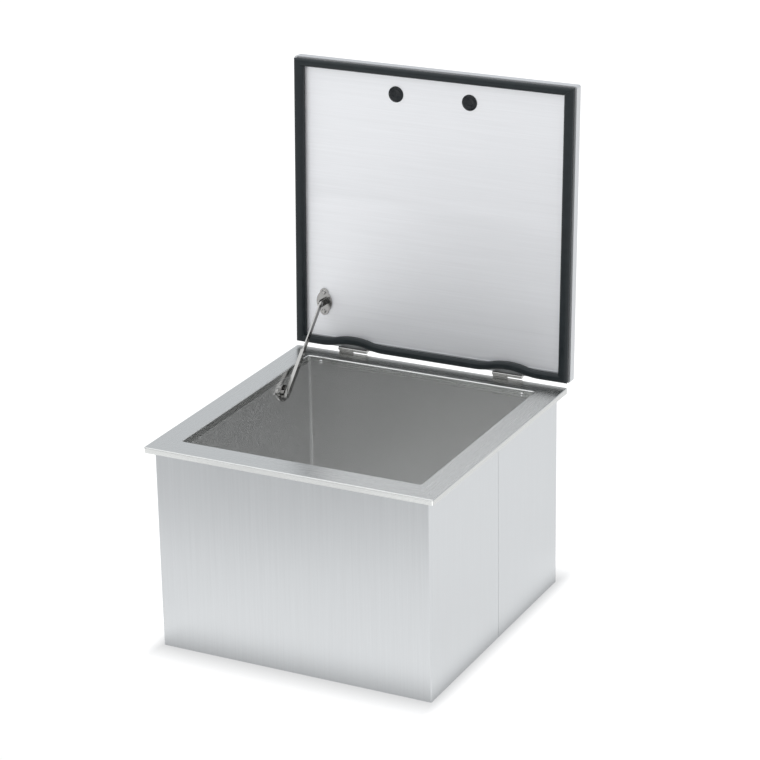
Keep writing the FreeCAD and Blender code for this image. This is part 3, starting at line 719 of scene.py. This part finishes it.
def make_seal():
    centre = (seal_low + seal_high) / 2
    half_x, half_y = ((seal_high - seal_low) / 2).xy
    along_x = (half_x, half_y, CROSS_WIDTH, SEAL_WIDTH)
    along_y = (half_y, half_x, SEAL_WIDTH, CROSS_WIDTH)
    front = seal_side(*along_x, 0.0, 1)
    right = seal_side(*along_y, math.pi / 2, 1)
    rear = seal_side(*along_x, math.pi, REAR_STEPS)
    left = seal_side(*along_y, -math.pi / 2, 1)
    for corner in rear.verts:
        corner.co.y -= wave_bow(corner.co.x)
    ring = gathered([front, right, rear, left])
    bmesh.ops.translate(ring, verts=ring.verts, vec=(centre.x, centre.y, seal_high.z))
    ring.transform(LID_OPEN)
    add_piece("lid_seal", ring, "lid", "lid_gasket")


make_seal()

# %% [markdown]
# Plugs, stoppers and rivets are turned shapes. Stacked cylinders could build them up, but a line drawn
# beside an axis and spun all the way round it keeps the whole outline in one short list. The hole plugs
# are dished in the middle, and the drain stopper has a rim and a round knob to pull on. A helper spins
# such a line, and another stands the result on a seat, facing along a direction.

# %% Plugs and stopper
SPIN_STEPS = 56
PLUG_LINE = [(0.0, 0.9), (5.6, 0.7), (8.2, 2.6), (10.2, 2.5), (13.5, 1.0), (13.5, 0.0), (11.0, 0.0),
             (11.0, -4.0)]
PLUG_ROUNDS = {1: 1.6, 2: 0.8, 3: 0.8, 4: 0.5}
PLUG_HEAD = PLUG_LINE[2][1]
STOPPER_LINE = [(0.0, 25.5), (5.6, 25.5), (9.0, 21.5), (9.0, 14.5), (5.0, 8.8), (5.0, 3.0), (19.0, 3.0),
                (19.0, 0.0), (14.7, 0.0), (13.9, -9.7), (0.0, -9.7)]
STOPPER_ROUNDS = {1: 3.0, 2: 2.6, 3: 2.6, 4: 1.5, 5: 1.2, 6: 1.4, 9: 1.0}
STOPPER_FOOT = STOPPER_LINE[-1][1]


def stand(work, seat, direction):
    """Turn mesh work from the Z axis to a direction and move it to a seat."""
    turn = Vector(direction).to_track_quat("Z", "Y").to_matrix().to_4x4()
    work.transform(Matrix.Translation(seat) @ turn)


def spin_round(work, geom):
    bmesh.ops.spin(work, geom=geom, cent=(0, 0, 0), axis=(0, 0, 1), angle=math.tau, steps=SPIN_STEPS,
                   use_merge=True, use_duplicate=False)


def turned_work(line, rounds, seat, direction):
    work = bmesh.new()
    draw_section(work, line, rounds)
    spin_round(work, work.verts[:] + work.edges[:])
    bmesh.ops.remove_doubles(work, verts=work.verts, dist=WELD)
    stand(work, seat, direction)
    return work


def make_plug(node):
    low, high = shut_box(node)
    seat = ((low.x + high.x) / 2, (low.y + high.y) / 2, low.z + PLUG_HEAD * MM)
    work = turned_work(PLUG_LINE, PLUG_ROUNDS, seat, (0, 0, -1))
    work.transform(LID_OPEN)
    add_piece("dished_" + node, work, "lid", node)


def make_stopper():
    low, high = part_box("drain_stopper")
    seat = ((low.x + high.x) / 2, (low.y + high.y) / 2, low.z - STOPPER_FOOT * MM)
    work = turned_work(STOPPER_LINE, STOPPER_ROUNDS, seat, (0, 0, 1))
    add_piece("knob_stopper", work, "drain_stopper", "drain_stopper")


for plug_node in ("hole_plug_left", "hole_plug_right"):
    make_plug(plug_node)
make_stopper()

# %% [markdown]
# Blind rivets hold the hinge leaves and the flange's skirt. A plain dome would do from far off. Close
# by, the small hole where the mandrel broke off is what tells a blind rivet from a screw, so the spun
# line keeps it.

# %% Rivets
RIVET_LINE = [(0.0, 0.45), (0.85, 0.45), (1.0, 1.3), (2.2, 1.05), (3.2, 0.4), (3.2, 0.0), (1.6, 0.0),
              (1.6, -2.5)]
RIVET_ROUNDS = {2: 0.15, 3: 0.8, 4: 0.2}
RIVET_HEAD = RIVET_LINE[2][1]
RIVET_RADIUS = RIVET_LINE[4][0]
RIVET_HALF_PITCH = 18.0
LINER_RIVET_LENGTH = 4.0


def make_hinge_rivets(name, node, body, low, high, placing):
    seats = [(centre + side * RIVET_HALF_PITCH * MM, high.y - RIVET_HEAD * MM, (low.z + high.z) / 2)
             for centre in hinge_centres for side in (-1, 1)]
    work = gathered([turned_work(RIVET_LINE, RIVET_ROUNDS, seat, (0, 1, 0)) for seat in seats])
    work.transform(placing)
    add_piece(name, work, body, node)


def make_liner_rivets():
    low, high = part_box("liner_rivets")
    head, far, length = RIVET_HEAD * MM, RIVET_RADIUS * MM, LINER_RIVET_LENGTH * MM
    works = []
    for x in (low.x + far, high.x - far):
        for y, facing in ((low.y + length - head, 1), (high.y - length + head, -1)):
            seat = (x, y, (low.z + high.z) / 2)
            works.append(turned_work(RIVET_LINE, RIVET_ROUNDS, seat, (0, facing, 0)))
    add_piece("tub_rivets", gathered(works), "cooler_body", "liner_rivets")


make_liner_rivets()
make_hinge_rivets("base_leaf_rivets", "hinge_base_rivets", "cooler_body", *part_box("hinge_base_rivets"),
                  Matrix.Identity(4))
make_hinge_rivets("lid_leaf_rivets", "hinge_lid_rivets", "lid", *shut_box("hinge_lid_rivets"), LID_OPEN)

# %% [markdown]
# The stay's brackets hold on with pan-head screws that have a cross recess. A boolean could cut the
# cross out of a dome, but it leaves ragged faces round it. Here the recess starts as a grid of nine
# squares without its four corners. The cross that is left is pushed down, narrowing a little as the
# driver's tip does.

# %% Cross recess
SCREW_HEAD = 1.8
SCREW_LINE = [(2.7, 1.45), (3.6, 1.1), (4.2, 0.5), (4.2, 0.0), (1.7, 0.0), (1.7, -3.0)]
DOME_RADIUS, DOME_EDGE = SCREW_LINE[0]
DOME_SLOPE = (SCREW_HEAD - DOME_EDGE) / DOME_RADIUS
CROSS_REACH = 2.3
CROSS_HALF = 0.55
CROSS_DEPTH = 1.2
CROSS_TAPER = 0.55
GRID_MIDWAY = 0.5


def cross_recess(work):
    """Sink a cross round the Z axis and return the edges of its rim."""
    grid = bmesh.ops.create_grid(work, x_segments=3, y_segments=3, size=1.0)["verts"]
    # The grid's outer corners start 1 from its middle lines, and the inner ones a third.
    for corner in grid:
        for axis in (0, 1):
            size = CROSS_REACH if abs(corner.co[axis]) > GRID_MIDWAY else CROSS_HALF
            corner.co[axis] = math.copysign(size * MM, corner.co[axis])
        corner.co.z = SCREW_HEAD * MM - DOME_SLOPE * corner.co.xy.length
    for face in work.faces[:]:
        middle = face.calc_center_median()
        if min(abs(middle.x), abs(middle.y)) > CROSS_HALF * MM:
            bmesh.ops.delete(work, geom=[face], context="FACES")
    rim = [edge for edge in work.edges if edge.is_boundary]
    sunk = bmesh.ops.extrude_face_region(work, geom=work.faces[:], use_keep_orig=False)["geom"]
    floor = [item for item in sunk if isinstance(item, bmesh.types.BMVert)]
    bmesh.ops.translate(work, verts=floor, vec=(0, 0, -CROSS_DEPTH * MM))
    bmesh.ops.scale(work, verts=floor, vec=(CROSS_TAPER, CROSS_TAPER, 1.0))
    return rim


print("cross recess:", 2 * CROSS_REACH, "mm across,", CROSS_DEPTH, "mm deep")

# %% [markdown]
# The rest of the screw's head is a domed ring that is spun from a line, as the rivets are. It could be
# left as a separate ring round the cross, with a gap. Bridging the rim of the cross to the inner edge
# of the ring closes the head, and two screws then hold each bracket.

# %% Cross-recess screws
SCREW_ROUNDS = {1: 0.6, 2: 0.4}
SCREW_RADIUS = SCREW_LINE[2][0]
LEVEL_SLACK = 1e-6


def screw_work(seat, direction):
    work = bmesh.new()
    rim = cross_recess(work)
    known = set(work.verts)
    draw_section(work, SCREW_LINE, SCREW_ROUNDS)
    line = [corner for corner in work.verts if corner not in known]
    line += [edge for edge in work.edges if edge.verts[0] not in known]
    spin_round(work, line)
    ring = [edge for edge in work.edges if edge.is_boundary and edge not in rim
            and all(abs(corner.co.z - DOME_EDGE * MM) < LEVEL_SLACK for corner in edge.verts)]
    bmesh.ops.bridge_loops(work, edges=rim + ring)
    stand(work, seat, direction)
    return work


def make_lid_screws():
    low, high = shut_box("stay_lid_screws")
    seats = [((low.x + high.x) / 2, y, low.z + SCREW_HEAD * MM)
             for y in (low.y + SCREW_RADIUS * MM, high.y - SCREW_RADIUS * MM)]
    work = gathered([screw_work(seat, (0, 0, -1)) for seat in seats])
    work.transform(LID_OPEN)
    add_piece("lid_bracket_screws", work, "lid", "stay_lid_screws")


def make_wall_screws():
    low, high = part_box("stay_wall_screws")
    inset = SCREW_RADIUS * MM
    x = high.x - SCREW_HEAD * MM
    seats = [(x, low.y + inset, high.z - inset), (x, high.y - inset, low.z + inset)]
    work = gathered([screw_work(seat, (1, 0, 0)) for seat in seats])
    add_piece("wall_bracket_screws", work, "cooler_body", "stay_wall_screws")


make_lid_screws()
make_wall_screws()

# %% [markdown]
# The dressed cooler has to keep the size of the frame. That could be judged by eye, but two boxes side
# by side show it at once.

# %% Sizes and finish
import json
